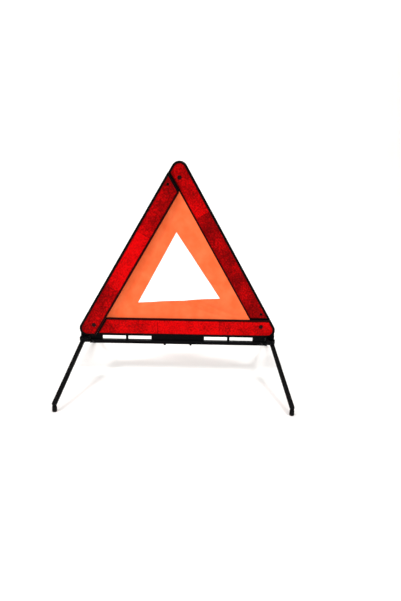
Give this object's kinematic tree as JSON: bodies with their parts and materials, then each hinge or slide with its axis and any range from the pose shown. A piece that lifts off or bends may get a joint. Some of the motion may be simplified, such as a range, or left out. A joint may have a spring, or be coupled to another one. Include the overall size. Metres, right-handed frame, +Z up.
{
  "type": "warning triangle",
  "caption": "Folding roadside warning triangle: red reflective arms round an orange fluorescent sheet, on a black base rail with swing-out legs.",
  "frame": {"origin": "on the ground, under the middle of the object", "axes": "+Z up, the reflective side faces -Y, +X to the right as seen from the front"},
  "size_m": [0.4738, 0.4202, 0.48],
  "materials": {
    "black_plastic": "moulded black, fine matt texture",
    "red_lens": "clear red moulding over a field of small prisms",
    "orange_fabric": "fluorescent red-orange coated fabric, matt",
    "dark_pin": "dark pin head under a red tint",
    "steel": "zinc-plated rivet and screw",
    "black_enamel": "black baked enamel on pressed steel",
    "black_rubber": "soft matt rubber"
  },
  "bodies": {
    "base": {"base_rail": "black_plastic", "bottom_arm_frame": "black_plastic", "bottom_reflector": "red_lens", "fluorescent_sheet": "orange_fabric", "base_screw_1": "steel", "base_screw_2": "steel", "base_screw_3": "steel", "base_screw_4": "steel", "left_end_block": "black_plastic", "right_end_block": "black_plastic", "left_block_pin": "steel", "right_block_pin": "steel", "left_rail_clip": "black_plastic", "right_rail_clip": "black_plastic", "right_arm_pin": "dark_pin", "right_arm_washer": "steel", "front_left_leg_pin": "steel", "front_right_leg_pin": "steel", "rear_left_leg_pin": "steel", "rear_right_leg_pin": "steel"},
    "left_arm": {"left_arm_frame": "black_plastic", "left_reflector": "red_lens", "left_arm_pin": "dark_pin", "left_arm_washer": "steel", "latch_stud": "black_plastic"},
    "right_arm": {"right_arm_frame": "black_plastic", "right_reflector": "red_lens", "apex_pin": "dark_pin"},
    "front_left_leg": {"front_left_leg": "black_enamel", "front_left_foot": "black_rubber"},
    "front_right_leg": {"front_right_leg": "black_enamel", "front_right_foot": "black_rubber"},
    "rear_left_leg": {"rear_left_leg": "black_enamel", "rear_left_foot": "black_rubber"},
    "rear_right_leg": {"rear_right_leg": "black_enamel", "rear_right_foot": "black_rubber"}
  },
  "joints": [
    {"name": "left_arm_fold", "type": "hinge", "parent": "base", "child": "left_arm", "pos_m": [-0.18927, 0, 0.1174], "axis": [0, 1, 0], "range_deg": [0, 60], "deforming": ["fluorescent_sheet"]},
    {"name": "right_arm_fold", "type": "hinge", "parent": "base", "child": "right_arm", "pos_m": [0.18927, 0, 0.1174], "axis": [0, -1, 0], "range_deg": [0, 60]},
    {"name": "front_left_leg_swing", "type": "hinge", "parent": "base", "child": "front_left_leg", "pos_m": [-0.214, -0.017, 0.082], "axis": [0, -0.3312, 0.9435], "range_deg": [0, 95.16]},
    {"name": "front_right_leg_swing", "type": "hinge", "parent": "base", "child": "front_right_leg", "pos_m": [0.214, -0.017, 0.082], "axis": [0, 0.3312, -0.9435], "range_deg": [0, 95.16]},
    {"name": "rear_left_leg_swing", "type": "hinge", "parent": "base", "child": "rear_left_leg", "pos_m": [-0.214, 0.017, 0.082], "axis": [0, -0.3312, -0.9435], "range_deg": [0, 95.16]},
    {"name": "rear_right_leg_swing", "type": "hinge", "parent": "base", "child": "rear_right_leg", "pos_m": [0.214, 0.017, 0.082], "axis": [0, 0.3312, 0.9435], "range_deg": [0, 95.16]}
  ]
}
